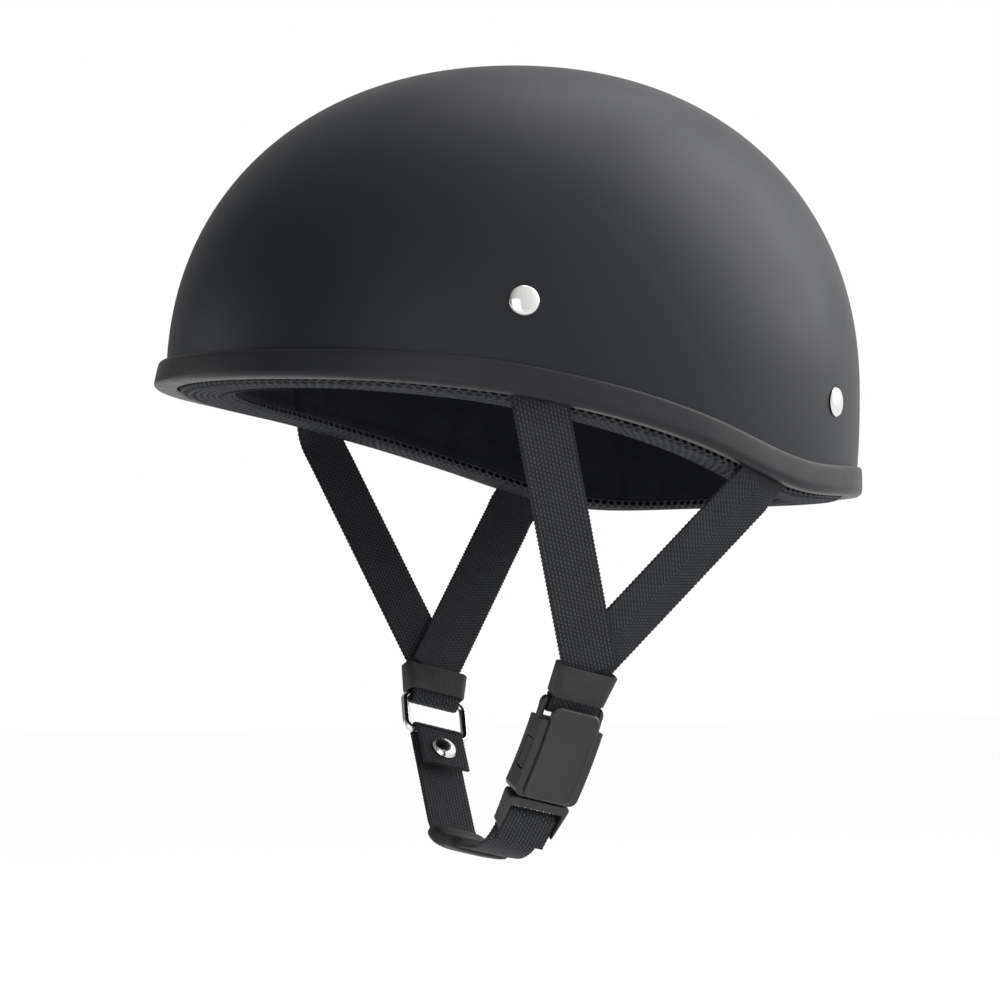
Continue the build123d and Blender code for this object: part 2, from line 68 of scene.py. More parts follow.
# Rubber edging, and how much fuller it is all round and at the front
TRIM_COVER = 2.0
TRIM_WALL = 1.1
TRIM_HEIGHT = 11.0
TRIM_SOLE = 3.0
TRIM_SWELL = 0.6
FRONT_SWELL = 2.0
FRONT_RISE = 1.2
TRIM_COLUMNS = 560

# Lining, with the bearings of its seams
LINING_DEPTH = 20.3
BAND_WALL = 4.6
CROWN_WALL = 3.0
BAND_HEIGHT = 42.0
LAYER_GAP = 0.3
LINING_SEAMS = (-90, -35, 44, 90, 136, 215)
LINING_COLUMNS = 480
LINING_HEM = 0.6
LIP_ROLL = 1.4

# Mesh under the foam: its cells' pitch, the half axes of its holes and the crest of its threads
LIP_RISE = -1.0
MESH_WALL = 1.2
MESH_SAG = 0.2
CELL_LENGTH = 3.2
CELL_WIDTH = 2.3
HOLE_HALF_LENGTH = 1.26
HOLE_HALF_WIDTH = 0.93
HOLE_DEPTH = 0.8
THREAD_CREST = 0.22

# Rivets and the places where the straps leave the rim, as (y, z) of the left side
RIVETS = {"front": (-50.4, 23.2), "rear": (84.0, -6.6)}
EXITS = {"front": (-44.5, -13.1), "rear": (44.0, -39.0)}
RIVET_RADIUS = 5.4
RIVET_RISE = 1.8

# Webbing, its depth under the shell and its weave
WEB_WIDTH = 20.0
WEB_WALL = 1.4
WEB_DEPTH = 5.1
WEB_END = 9.0
WEB_OVERLAP = 2.5
WEB_PLAY = 0.3
LEG_SPLIT = 0.9
SELVEDGE = 0.6
WEAVE_RISE = 0.26
WEAVE_STEP = 0.42
BRICK_WIDTH = 1.3
BRICK_LENGTH = 1.7
TWILL_RIB = 1.5
TWILL_STITCH = 1.2

# Plane of the chin strap and the bars in it
STRAP_LEAN = math.radians(13.3)
STRAP_SET_BACK = 15.9
BAR_RADIUS = 1.45
BAR_HALF_SPAN = 58.4
BAR_DROP = 116.5
WEB_OFFSET = BAR_RADIUS + WEB_PLAY + WEB_WALL / 2

# Keepers as (width, height, height of the middle above the bar)
KEEPERS = {"left": (24.0, 12.0, 9.8), "right": (27.0, 11.0, 7.3)}
KEEPER_HALF = 4.3
KEEPER_CORNER = 2.9
KEEPER_WALL = 1.3
KEEPER_TAPER = 1.5
KEEPER_RIB = 0.12
KEEPER_RIBS = 80
RIB_POINTS = 8

# Ring
RING_WIDTH = 22.4
RING_HEIGHT = 13.2
RING_CORNER = 3.0
RING_SLOPE = 55.0

# Chin webbing, its snapped flap and its pad
CHIN_DROP = 171.0
CHIN_SLOPE = 45.0
RIGHT_BEND = 30.0
LEFT_BEND = 19.0
TAIL_LENGTH = 11.0
FLAP_LENGTH = 19.0
FLAP_GAP = 0.8
SNAP_PLACE = 10.5
CAP_RADIUS = 5.0
CAP_RISE = 2.7
CAP_STEM = 1.4
PAD_WIDTH = 24.0
PAD_INNER = 3.0
PAD_OUTER = 1.4
PAD_EDGE = 1.0
PAD_RISE = 0.7
PAD_FLAT = 0.5

# Buckle's arc in the strap's plane, the panel on it and the plug's bar
ARC_CENTRE = np.array([-54.9, -94.7])
ARC_RADIUS = 116.0
BUCKLE_TURN = 21.9
PANEL_TOP = 22.5
PANEL_LOW = 11.0
PANEL_HALF_WIDTH = 9.7
PANEL_CORNER = 3.0
PANEL_FACE = 6.1
PANEL_FLOOR = 1.5
PANEL_RIB = 0.95
PLUG_BAR = 20.6
PLUG_BAR_RADIUS = 1.0
PLUG_OFFSET = PLUG_BAR_RADIUS + WEB_PLAY + WEB_WALL / 2

# Frame of the chin strap: x to the left, y up along its plane, z forward across the webbing
STRAP_O = np.array([0, STRAP_SET_BACK * math.cos(STRAP_LEAN), -STRAP_SET_BACK * math.sin(STRAP_LEAN)])
STRAP_X = np.array([1.0, 0, 0])
STRAP_Y = np.array([0, math.sin(STRAP_LEAN), math.cos(STRAP_LEAN)])
STRAP_Z = np.array([0, -math.cos(STRAP_LEAN), math.sin(STRAP_LEAN)])


def in_strap(points):
    """P = O + x X + y Y for points (x, y) of the strap's plane."""
    points = np.atleast_2d(points)
    return STRAP_O + points[:, :1] * STRAP_X + points[:, 1:2] * STRAP_Y


def unit(v):
    """v / |v| along the last axis."""
    return v / np.maximum(np.linalg.norm(v, axis=-1, keepdims=True), 1e-12)


def turned(angle):
    """(cos a, sin a) for an angle in degrees."""
    return np.array([math.cos(math.radians(angle)), math.sin(math.radians(angle))])


def full_turn(count):
    """Angles evenly spaced over a full turn, the first one zero."""
    return np.linspace(0, 2 * math.pi, count, endpoint=False)


# Materials

def noise_node(tree, scale, detail=4.0, distortion=0.0):
    """Noise on the piece's own Object coordinates, in metres."""
    where = tree.nodes.new("ShaderNodeTexCoord")
    noise = tree.nodes.new("ShaderNodeTexNoise")
    noise.inputs["Scale"].default_value = scale
    noise.inputs["Detail"].default_value = detail
    noise.inputs["Distortion"].default_value = distortion
    tree.links.new(where.outputs["Object"], noise.inputs["Vector"])
    return noise.outputs["Fac"]


def ramp_node(tree, value, low, high, dark, light):
    """Colour that goes from dark at value low to light at value high."""
    ramp = tree.nodes.new("ShaderNodeValToRGB")
    ramp.color_ramp.elements[0].position = low
    ramp.color_ramp.elements[1].position = high
    ramp.color_ramp.elements[0].color = (*dark, 1)
    ramp.color_ramp.elements[1].color = (*light, 1)
    tree.links.new(value, ramp.inputs["Fac"])
    return ramp.outputs["Color"]


def range_node(tree, value, low, high):
    """Value 0.3 to 0.7 mapped to low to high."""
    node = tree.nodes.new("ShaderNodeMapRange")
    for name, number in (("From Min", 0.3), ("From Max", 0.7), ("To Min", low), ("To Max", high)):
        node.inputs[name].default_value = number
    tree.links.new(value, node.inputs["Value"])
    return node.outputs["Result"]


def surface(name, dark, light, scale, rough, grain, metal=0.0, specular=0.5, sheen=0.0, painted_highlight=None):
    """Material with a mottled colour, uneven roughness and a fine grain, and a painted highlight colour mixed
    in per point where asked.
    """
    material = bpy.data.materials.new(name)
    material.use_nodes = True
    tree = material.node_tree
    shader = tree.nodes["Principled BSDF"]
    shader.inputs["Metallic"].default_value = metal
    shader.inputs["Specular IOR Level"].default_value = specular
    shader.inputs["Sheen Weight"].default_value = sheen
    shader.inputs["Sheen Roughness"].default_value = 0.5
    colour = ramp_node(tree, noise_node(tree, scale), 0.35, 0.65, dark, light)
    # Painted highlight: a per-point attribute mixes a lighter colour onto the crests of weave and ribs
    if painted_highlight is not None:
        attribute = tree.nodes.new("ShaderNodeAttribute")
        attribute.attribute_name = "painted_highlight"
        mix = tree.nodes.new("ShaderNodeMix")
        mix.data_type = "RGBA"
        tree.links.new(attribute.outputs["Fac"], mix.inputs["Factor"])
        tree.links.new(colour, mix.inputs["A"])
        mix.inputs["B"].default_value = (*painted_highlight, 1)
        colour = mix.outputs["Result"]
    tree.links.new(colour, shader.inputs["Base Color"])
    tree.links.new(range_node(tree, noise_node(tree, scale * 2.3), *rough), shader.inputs["Roughness"])
    bump = tree.nodes.new("ShaderNodeBump")
    bump.inputs["Strength"].default_value = grain[1]
    bump.inputs["Distance"].default_value = grain[2]
    tree.links.new(noise_node(tree, grain[0], 6.0), bump.inputs["Height"])
    tree.links.new(bump.outputs["Normal"], shader.inputs["Normal"])
    return material


SHELL = surface("satin_shell", (0.0086, 0.0100, 0.0132), (0.0100, 0.0115, 0.0150), 14, (0.42, 0.47),
                (5200, 0.10, 0.0002), specular=0.24)
RUBBER = surface("edge_rubber", (0.0074, 0.0081, 0.0099), (0.0103, 0.0111, 0.0134), 60, (0.40, 0.48),
                 (2600, 0.10, 0.0002), specular=0.30)
BEADS = surface("foam_beads", (0.010, 0.010, 0.010), (0.022, 0.022, 0.022), 420, (0.75, 0.9),
                (450, 0.6, 0.001), specular=0.3)
VELVET = surface("lining_fabric", (0.0085, 0.0095, 0.012), (0.0125, 0.0135, 0.0165), 90, (0.85, 0.95),
                 (2400, 0.35, 0.0004), specular=0.10, sheen=0.04)
MESH = surface("air_mesh", (0.020, 0.0215, 0.0255), (0.032, 0.0345, 0.0405), 300, (0.55, 0.75),
               (3800, 0.4, 0.0003), specular=0.35)
# Near-black colour of the air mesh's back layer, seen through its holes: painted shade
HOLE_SHADE = surface("mesh_hole_shade", (0.0015, 0.0015, 0.002), (0.003, 0.003, 0.003), 200, (0.9, 0.98),
                  (2200, 0.3, 0.0003), specular=0.05)
# The webbing's lighter colour is a painted highlight on its weave crests
WEBBING = surface("strap_webbing", (0.0062, 0.0068, 0.0088), (0.0088, 0.0096, 0.0120), 150, (0.72, 0.88),
                  (5200, 0.35, 0.0002), specular=0.25, sheen=0.08, painted_highlight=(0.076, 0.081, 0.093))
NICKEL = surface("nickel", (0.74, 0.73, 0.71), (0.82, 0.81, 0.79), 70, (0.14, 0.20),
                 (900, 0.02, 0.0001), metal=1.0)
STEEL = surface("washer_steel", (0.42, 0.42, 0.43), (0.55, 0.55, 0.56), 160, (0.35, 0.5),
                (1400, 0.06, 0.0001), metal=1.0)
# The keeper's lighter colour is a painted highlight on its rib crests
RIBBED = surface("keeper_ribbon", (0.012, 0.012, 0.0125), (0.018, 0.018, 0.019), 120, (0.6, 0.75),
                 (3600, 0.25, 0.0002), specular=0.3, sheen=0.08, painted_highlight=(0.075, 0.077, 0.085))
PLASTIC = surface("buckle_plastic", (0.016, 0.0165, 0.0175), (0.022, 0.0225, 0.0235), 45, (0.30, 0.40),
                  (3000, 0.10, 0.0001), specular=0.45)
VINYL = surface("pad_vinyl", (0.0075, 0.008, 0.009), (0.011, 0.0115, 0.0125), 80, (0.46, 0.58),
                (1500, 0.30, 0.0003), specular=0.28)


# Meshes

def make_piece(name, points, quads, tris, body, slot, *materials):
    """Smooth mesh from points in mm and faces by index, in the row frame, on a CAD body."""
    points = np.asarray(points, float).reshape(-1, 3)
    quads = np.asarray(quads, np.int32).reshape(-1, 4)
    tris = np.asarray(tris, np.int32).reshape(-1, 3)
    mesh = bpy.data.meshes.new(name)
    loops = np.concatenate([quads.ravel(), tris.ravel()]).astype(np.int32)
    starts = np.concatenate([np.arange(len(quads)) * 4, len(quads) * 4 + np.arange(len(tris)) * 3])
    starts = starts.astype(np.int32)
    mesh.vertices.add(len(points))
    mesh.vertices.foreach_set("co", (points * MM).ravel())
    mesh.loops.add(len(loops))
    mesh.loops.foreach_set("vertex_index", loops)
    mesh.polygons.add(len(starts))
    mesh.polygons.foreach_set("loop_start", starts)
    mesh.polygons.foreach_set("use_smooth", np.ones(len(starts), bool))
    mesh.update(calc_edges=True)
    mesh.validate()
    for material in materials:
        mesh.materials.append(material)
    piece = bpy.data.objects.new(name, mesh)
    bpy.context.scene.collection.objects.link(piece)
    if body is not None:
        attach(piece, body)
    return piece


def weld(piece, distance=1e-6):
    """Joins points that lie together and turns all faces outward."""
    work = bmesh.new()
    work.from_mesh(piece.data)
    bmesh.ops.remove_doubles(work, verts=work.verts, dist=distance)
    bmesh.ops.recalc_face_normals(work, faces=work.faces)
    work.to_mesh(piece.data)
    work.free()


def grid_quads(rows, columns, wrap_rows=False, wrap_columns=False):
    """Quads of a grid of points numbered row by row, closed on itself where asked."""
    i = np.arange(rows if wrap_rows else rows - 1)
    j = np.arange(columns if wrap_columns else columns - 1)
    i, j = np.meshgrid(i, j, indexing="ij")
    a, b = (i + 1) % rows, (j + 1) % columns
    return np.stack([i * columns + j, i * columns + b, a * columns + b, a * columns + j], -1).reshape(-1, 4)


def fan(ring, middle):
    """Triangles from a ring of point numbers to one middle point."""
    ring = np.asarray(ring)
    return np.stack([ring, np.roll(ring, -1), np.full(len(ring), middle)], -1)


def tube_piece(name, sections, body, slot, *materials):
    """Closed solid through sections (n, m, 3), each a closed loop, with a middle point closing each end."""
    n, m = sections.shape[:2]
    points = np.concatenate([sections.reshape(-1, 3), sections[0].mean(0)[None], sections[-1].mean(0)[None]])
    tris = np.concatenate([fan(np.arange(m), n * m), fan(np.arange(m) + (n - 1) * m, n * m + 1)])
    piece = make_piece(name, points, grid_quads(n, m, False, True), tris, body, slot, *materials)
    weld(piece)
    return piece


def revolve_piece(name, profile, origin, axis, body, slot, material, count=72):
    """Turned solid: P = O + r (cos a X + sin a Y) + z A for (r, z) of the profile, from pole to pole."""
    profile = np.asarray(profile, float)
    axis = unit(np.asarray(axis, float))
    side = unit(np.cross(axis, [0.31, 0.17, 0.93]))
    other = np.cross(axis, side)
    turn = full_turn(count)
    circle = np.cos(turn)[:, None] * side + np.sin(turn)[:, None] * other
    inner = profile[1:-1]
    sections = np.asarray(origin) + inner[:, 0, None, None] * circle[None] + inner[:, 1, None, None] * axis
    rows = len(inner)
    poles = np.asarray(origin) + profile[[0, -1], 1][:, None] * axis
    points = np.concatenate([sections.reshape(-1, 3), poles])
    first = np.arange(count)
    tris = np.concatenate([fan(first, rows * count), fan(first + (rows - 1) * count, rows * count + 1)])
    piece = make_piece(name, points, grid_quads(rows, count, False, True), tris, body, slot, material)
    weld(piece)
    return piece


def spline(x, y, where):
    """Natural cubic spline through (x, y): solves for the second derivatives M, then evaluates each piece."""
    x, y, where = np.asarray(x, float), np.asarray(y, float), np.asarray(where, float)
    step = np.diff(x)
    count = len(x)
    matrix = np.eye(count)
    right = np.zeros((count,) + y.shape[1:])
    for k in range(1, count - 1):
        matrix[k, k - 1], matrix[k, k], matrix[k, k + 1] = step[k - 1], 2 * (step[k - 1] + step[k]), step[k]
        right[k] = 6 * ((y[k + 1] - y[k]) / step[k] - (y[k] - y[k - 1]) / step[k - 1])
    bend = np.linalg.solve(matrix, right)
    k = np.clip(np.searchsorted(x, where) - 1, 0, count - 2)
    h, a, b = step[k], x[k + 1] - where, where - x[k]
    if y.ndim > 1:
        h, a, b = h[..., None], a[..., None], b[..., None]
    curve = (bend[k] * a ** 3 + bend[k + 1] * b ** 3) / (6 * h)
    return curve + (y[k] / h - bend[k] * h / 6) * a + (y[k + 1] / h - bend[k + 1] * h / 6) * b


def run_length(points):
    """Length along a line of points, from the first one to each."""
    return np.concatenate([[0], np.cumsum(np.linalg.norm(np.diff(points, axis=0), axis=1))])


def smooth_line(points, step):
    """Points a step apart on the spline through the given ones, by chord length."""
    points = np.asarray(points, float)
    along = run_length(points)
    return spline(along, points, np.linspace(0, along[-1], int(along[-1] / step) + 2))


# The dome and its rim

RIM_Y = RIM_SHARES[:, 0] * np.where(RIM_SHARES[:, 0] < 0, FRONT_LENGTH, REAR_LENGTH)
RIM_Z = -RIM_SHARES[:, 1] * RIM_DROP


def dome_ratio(z, depth=0.0):
    """(1 - (|z| / Z)^p)^(1/p), with Z the crown's height above z = 0 and the wall's run out below it."""
    reach = np.where(z > 0, CROWN_HEIGHT - depth, WALL_RUN_OUT)
    return np.maximum(1 - (np.abs(z) / reach) ** POWER, 0) ** (1 / POWER)


def dome_point(turn, z, depth):
    """P = (W r cos t, L r sin t, z), W and L less the depth, r the dome's ratio at z."""
    ratio = dome_ratio(z, depth)
    length = np.where(np.sin(turn) < 0, FRONT_LENGTH, REAR_LENGTH) - depth
    return np.stack([(HALF_WIDTH - depth) * ratio * np.cos(turn), length * ratio * np.sin(turn), z], -1)


def rim_height(turn, depth, rise):
    """Height where the dome at a depth meets the rim line raised by rise, by repeated substitution."""
    z = np.full(np.broadcast(turn, depth, rise).shape, -20.0)
    for _ in range(8):
        length = np.where(np.sin(turn) < 0, FRONT_LENGTH, REAR_LENGTH) - depth
        z = spline(RIM_Y, RIM_Z, length * dome_ratio(z, depth) * np.sin(turn)) + rise
    return z


def rim_point(turn, depth, rise):
    """Point of the dome at a depth and a rise above the rim line."""
    turn, depth, rise = np.broadcast_arrays(turn, depth, rise)
    return dome_point(turn, rim_height(turn, depth, rise), depth)


def on_dome(y, z, depth):
    """Point of the left side at a depth along the outward normal, and that normal."""
    y, z = np.asarray(y, float), np.asarray(z, float)
    length = np.where(y < 0, FRONT_LENGTH, REAR_LENGTH)
    reach = np.where(z > 0, CROWN_HEIGHT, WALL_RUN_OUT)
    ratio = dome_ratio(z)
    x = HALF_WIDTH * np.sqrt(ratio ** 2 - (y / length) ** 2)
    slope = np.abs(z) ** (POWER - 1) / reach ** POWER * np.sign(z)
    across = ratio ** (POWER - 2)
    normal = unit(np.stack([across * x / HALF_WIDTH ** 2, across * y / length ** 2, slope], -1))
    return np.stack([x, y, z], -1) - normal * np.asarray(depth)[..., None], normal


def make_shell():
    """Shell: the dome's outer face from the rim to the crown, and its inner face one wall deeper."""
    columns = SHELL_COLUMNS
    turn = full_turn(columns)
    faces = []
    for depth in (0.0, SHELL_WALL):
        foot = rim_height(turn, depth, TRIM_SOLE)
        low = (1 - np.linspace(0, 1, 11))[:-1, None] * foot[None]
        angle = np.linspace(0, math.pi / 2, 70)[:-1]
        high = (CROWN_HEIGHT - depth) * np.sin(angle) ** (2 / POWER)
        z = np.concatenate([low, np.repeat(high[:, None], columns, 1)])
        faces.append(dome_point(np.broadcast_to(turn, z.shape), z, depth))
    outer, inner = faces
    rows = len(outer)
    sections = np.concatenate([outer[::-1], inner])
    tops = [[0, 0, CROWN_HEIGHT], [0, 0, CROWN_HEIGHT - SHELL_WALL]]
    points = np.concatenate([sections.reshape(-1, 3), tops])
    count = 2 * rows * columns
    first = np.arange(columns)
    tris = np.concatenate([fan(first, count), fan(first + count - columns, count + 1)])
    quads = grid_quads(2 * rows, columns, False, True)
    piece = make_piece("helmet_shell", points, quads, tris, "helmet", "shell", SHELL)
    weld(piece)
    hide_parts("outer_shell")
    return piece


def rounded(points, pull=0.34):
    """Closed outline with each corner cut twice by the corner-cutting rule, which rounds it."""
    points = np.asarray(points, float)
    for _ in range(2):
        after = np.roll(points, -1, 0)
        pair = [points * (1 - pull / 2) + after * pull / 2, points * pull / 2 + after * (1 - pull / 2)]
        points = np.stack(pair, 1).reshape(-1, 2)
    return points


def make_trim():
    """Rubber channel: a rounded U section carried round the rim, P = rim(t, depth, rise).
    Its outer face stands off the shell at the top and swells to a full lip low down."""
    out, low, high = -TRIM_COVER - TRIM_SWELL, 0.0, TRIM_HEIGHT
    inner = SHELL_WALL + TRIM_WALL
    outline = np.array([
        (-0.25, high - 2.5), (-0.3, high - 0.1), (-0.8, high), (-1.4, high - 0.2), (-1.75, high - 0.9),
        (-1.95, high - 2.2), (out * 0.86, 6.4), (out * 0.95, 4.4), (out, 3.0), (out * 0.98, 1.9),
        (out * 0.82, 0.9), (out * 0.45, 0.2), (0.5, low), (1.9, low), (3.2, 0.15), (inner - 0.3, 0.8),
        (inner, 2.0), (inner, high - 1.0), (inner - 0.2, high - 0.2), (inner - 0.6, high),
        (SHELL_WALL + 0.1, high - 0.2), (SHELL_WALL + 0.1, TRIM_SOLE), (-0.1, TRIM_SOLE),
    ])
    outline = rounded(outline)
    turn = full_turn(TRIM_COLUMNS)
    front = np.clip(-np.sin(turn), 0, 1) ** 3
    depth = outline[None, :, 0] + np.minimum(outline[None, :, 0], 0) * front[:, None] * FRONT_SWELL / -out
    rise = outline[None, :, 1] + front[:, None] * FRONT_RISE * np.clip((3 - outline[None, :, 1]) / 3, 0, 1)
    points = rim_point(turn[:, None], depth, rise)
    n, m = points.shape[:2]
    quads = grid_quads(n, m, True, True)
    piece = make_piece("edge_rubber_trim", points, quads, [], "helmet", "edging", RUBBER)
    weld(piece)
    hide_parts("edge_trim")
    return piece


def make_mesh_band():
    """Air mesh: brick-laid cells with oval holes on a strip that rolls under the foam's lower edge.
    Cell point = lattice point + edge, middle ring and wall of the hole; the strip's point (s, t) lies at
    rim(turn(s), depth(t), rise(t)), and its sole sags a little below the foam."""
    low = LIP_RISE
    outline = smooth_line([
        (6.7, low + 5.0), (6.75, low + 3.0), (7.3, low + 1.2), (8.8, low), (12, low - MESH_SAG * 0.8),
        (16, low - MESH_SAG), (20.5, low - MESH_SAG * 0.6), (23.4, low + 0.1), (24.6, low + 0.7),
        (25.0, low + 1.8), (25.0, low + 3.0),
    ], 0.1)
    length = run_length(outline)
    out = unit(np.stack([np.gradient(outline[:, 1]), -np.gradient(outline[:, 0])], -1))
    turn = np.linspace(0, 2 * math.pi, 1441)
    path = rim_point(turn, 16.0, low)
    around = run_length(path)
    columns = int(round(around[-1] / CELL_LENGTH))
    rows = int(round(length[-1] / CELL_WIDTH))
    wide, tall = around[-1] / columns, length[-1] / rows

    def place(s, t, height):
        """Point of the strip at s round the rim and t across it, a height above its face."""
        angle = np.interp(np.mod(s, around[-1]), around, turn)
        t = np.clip(t, 0, length[-1])
        depth = np.interp(t, length, outline[:, 0]) + height * np.interp(t, length, out[:, 0])
        ends = np.clip((np.abs(np.sin(angle)) - 0.55) / 0.15, 0, 1)
        depth = depth - 2.0 * ends * np.clip((12 - depth) / 5, 0, 1)
        rise = np.interp(t, length, outline[:, 1]) + height * np.interp(t, length, out[:, 1])
        rise = rise + np.clip(-np.sin(angle), 0, 1) ** 3 * FRONT_RISE
        return rim_point(angle, depth, rise)

    edge = np.array([
        (-0.5, -0.5), (-0.25, -0.5), (0, -0.5), (0.25, -0.5), (0.5, -0.5), (0.5, 0),
        (0.5, 0.5), (0.25, 0.5), (0, 0.5), (-0.25, 0.5), (-0.5, 0.5), (-0.5, 0),
    ])
    angle = np.arctan2(edge[:, 1] * tall, edge[:, 0] * wide)
    oval = np.stack([np.cos(angle) * HOLE_HALF_LENGTH / wide, np.sin(angle) * HOLE_HALF_WIDTH / tall], -1)
    i, j = np.meshgrid(np.arange(rows), np.arange(columns), indexing="ij")
    s0 = ((j + 0.5 * (i % 2)) * wide).reshape(-1, 1)
    t0 = ((i + 0.5) * tall).reshape(-1, 1)
    rings = []
    crest = edge * 0.45 + oval * 0.55
    for shape, height in ((edge, 0.0), (crest, THREAD_CREST), (oval, 0.02), (oval * 0.93, -HOLE_DEPTH)):
        rings.append(place(s0 + shape[None, :, 0] * wide, t0 + shape[None, :, 1] * tall, height))
    cells = np.stack(rings, 1)
    ring = grid_quads(cells.shape[1], len(edge), False, True)
    quads = (np.arange(len(cells))[:, None, None] * (ring.max() + 1) + ring[None]).reshape(-1, 4)
    points = cells.reshape(-1, 3)
    s, t = np.meshgrid(np.linspace(0, around[-1], 361)[:-1], np.linspace(0, length[-1], 30), indexing="ij")
    # Back layer of the mesh: real, but coloured near black as painted shade in the holes
    skins = [place(s, t, -HOLE_DEPTH), place(s, t, -MESH_WALL)]
    back = np.concatenate([skins[0], skins[1][:, ::-1]], 1)
    n, m = back.shape[:2]
    backs = grid_quads(n, m, True, True) + len(points)
    points = np.concatenate([points, back.reshape(-1, 3)])
    both = np.concatenate([quads, backs])
    piece = make_piece("air_mesh_lip", points, both, [], "helmet", "mesh", MESH, HOLE_SHADE)
    which = np.zeros(len(quads) + len(backs), np.int32)
    which[len(quads):] = 1
    piece.data.polygons.foreach_set("material_index", which)
    weld(piece)
    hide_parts("mesh_band")
    return piece


def make_lining():
    """Padded band round the head and the lining over the crown, each a closed layer on the foam's inner face.
    The band's lower edge rolls over the mesh's leg: depth = wall + roll exp(-((z - foot - 2.6) / 3)^2)."""
    columns = LINING_COLUMNS
    turn = full_turn(columns)
    seams = np.radians(LINING_SEAMS)
    gap = np.abs(np.angle(np.exp(1j * (turn[:, None] - seams[None])))).min(1) * 95
    seam = 1 - 0.32 * np.exp(-(gap / 1.6) ** 2)
    share = np.linspace(0, 1, 60) ** 1.4
    swell = (1 - np.abs(2 * share - 1) ** 9) ** 0.5
    foot = rim_height(turn, LINING_DEPTH + BAND_WALL, LIP_RISE + 0.5)
    z = foot[:, None] + (BAND_HEIGHT - foot[:, None]) * share[None]
    roll = LIP_ROLL * np.exp(-((z - foot[:, None] - 2.6) / 3.0) ** 2)
    depth = LINING_DEPTH + LINING_HEM + ((BAND_WALL - LINING_HEM) * seam[:, None] + roll) * swell[None]
    around = np.broadcast_to(turn[:, None], z.shape)
    outer = dome_point(around, z, np.full(z.shape, LINING_DEPTH))
    inner = dome_point(around, z, depth)
    points = np.concatenate([outer, inner[:, ::-1]], 1)
    n, m = points.shape[:2]
    band = make_piece("lining_side_pad", points, grid_quads(n, m, True, True), [], "helmet", "lining", VELVET)
    weld(band)
    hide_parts("lining_band")
    low = BAND_HEIGHT + LAYER_GAP
    sides = []
    start = math.asin((low / (CROWN_HEIGHT - LINING_DEPTH)) ** (POWER / 2))
    angle = np.linspace(start, math.pi / 2, 44)[:-1]
    share = (angle - start) / (math.pi / 2 - start)
    for wall in (0.0, 1.0):
        puff = wall * CROWN_WALL * np.minimum(1, 0.35 + 0.65 * np.sqrt(np.minimum(share / 0.06, 1)))
        groove = np.exp(-(gap * (1 - 0.8 * share[:, None]) / 1.4) ** 2)
        depth = LINING_DEPTH + puff[:, None] * (1 - wall * 0.35 * groove)
        height = (CROWN_HEIGHT - depth) * np.sin(angle[:, None]) ** (2 / POWER)
        height = np.maximum(height, low)
        sides.append(dome_point(np.broadcast_to(turn[None], depth.shape), height, depth))
    rows = len(angle)
    sections = np.concatenate([sides[0][::-1], sides[1]])
    count = 2 * rows * columns
    tops = [[0, 0, CROWN_HEIGHT - LINING_DEPTH], [0, 0, CROWN_HEIGHT - LINING_DEPTH - CROWN_WALL]]
    points = np.concatenate([sections.reshape(-1, 3), tops])
    first = np.arange(columns)
    tris = np.concatenate([fan(first, count), fan(first + count - columns, count + 1)])
    quads = grid_quads(2 * rows, columns, False, True)
    crown = make_piece("lining_crown", points, quads, tris, "helmet", "lining", VELVET)
    weld(crown)
    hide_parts("crown_lining")


def make_rivets():
    """Domed heads with a small rolled edge, their shanks and tails, square to the shell."""
    for end, (y, z) in RIVETS.items():
        place, normal = on_dome(y, z, 0.0)
        angle = np.linspace(0, math.pi / 2, 12)[1:]
        head = [(RIVET_RADIUS * 0.97 * math.sin(a), 0.55 + (RIVET_RISE - 0.55) * math.cos(a)) for a in angle]
        profile = [(0, RIVET_RISE)] + head + [
            (RIVET_RADIUS, 0.45), (RIVET_RADIUS, 0.2), (RIVET_RADIUS * 0.97, 0.08), (2.2, 0.08),
            (2.0, -0.2), (2.0, -6.9), (3.0, -7.0), (3.2, -7.3), (3.1, -7.7), (2.4, -7.9), (0, -7.9),
        ]
        for side, sign in (("left", 1), ("right", -1)):
            flip = np.array([sign, 1, 1])
            name = f"{side}_{end}_rivet_nickel"
            piece = revolve_piece(name, profile, place * flip, normal * flip, "helmet", "nickel", NICKEL)
            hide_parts(f"{side}_{end}_rivet")


# Webbing

def add_painted_highlight(piece, painted_highlight):
    """Stores each point's painted highlight, none at the poles, where the mesh kept all its points."""
    rest = len(piece.data.vertices) - len(painted_highlight)
    if rest in (0, 2):
        layer = piece.data.attributes.new("painted_highlight", "FLOAT", "POINT")
        layer.data.foreach_set("value", np.concatenate([painted_highlight, np.zeros(rest)]).astype(np.float32))


def brick_weave(u, v):
    """Plaited look: columns of long bumps, every other column set on by half a bump."""
    column = np.floor(v / BRICK_WIDTH)
    across = np.abs(np.sin(math.pi * v / BRICK_WIDTH)) ** 1.8
    bump = 0.5 + 0.5 * np.cos(2 * math.pi * u / BRICK_LENGTH + math.pi * column)
    return across * (0.15 + 0.85 * bump ** 0.4)


def twill_weave(u, v):
    """Slanting ribs that change sides at the webbing's middle, broken into short stitches."""
    slant = 0.5 + 0.5 * np.cos(2 * math.pi * (u + 0.8 * np.abs(v)) / TWILL_RIB)
    stitch = 0.5 + 0.5 * np.cos(2 * math.pi * (v - 0.25 * u) / TWILL_STITCH)
    return 0.15 + 0.85 * slant * (0.35 + 0.65 * stitch)


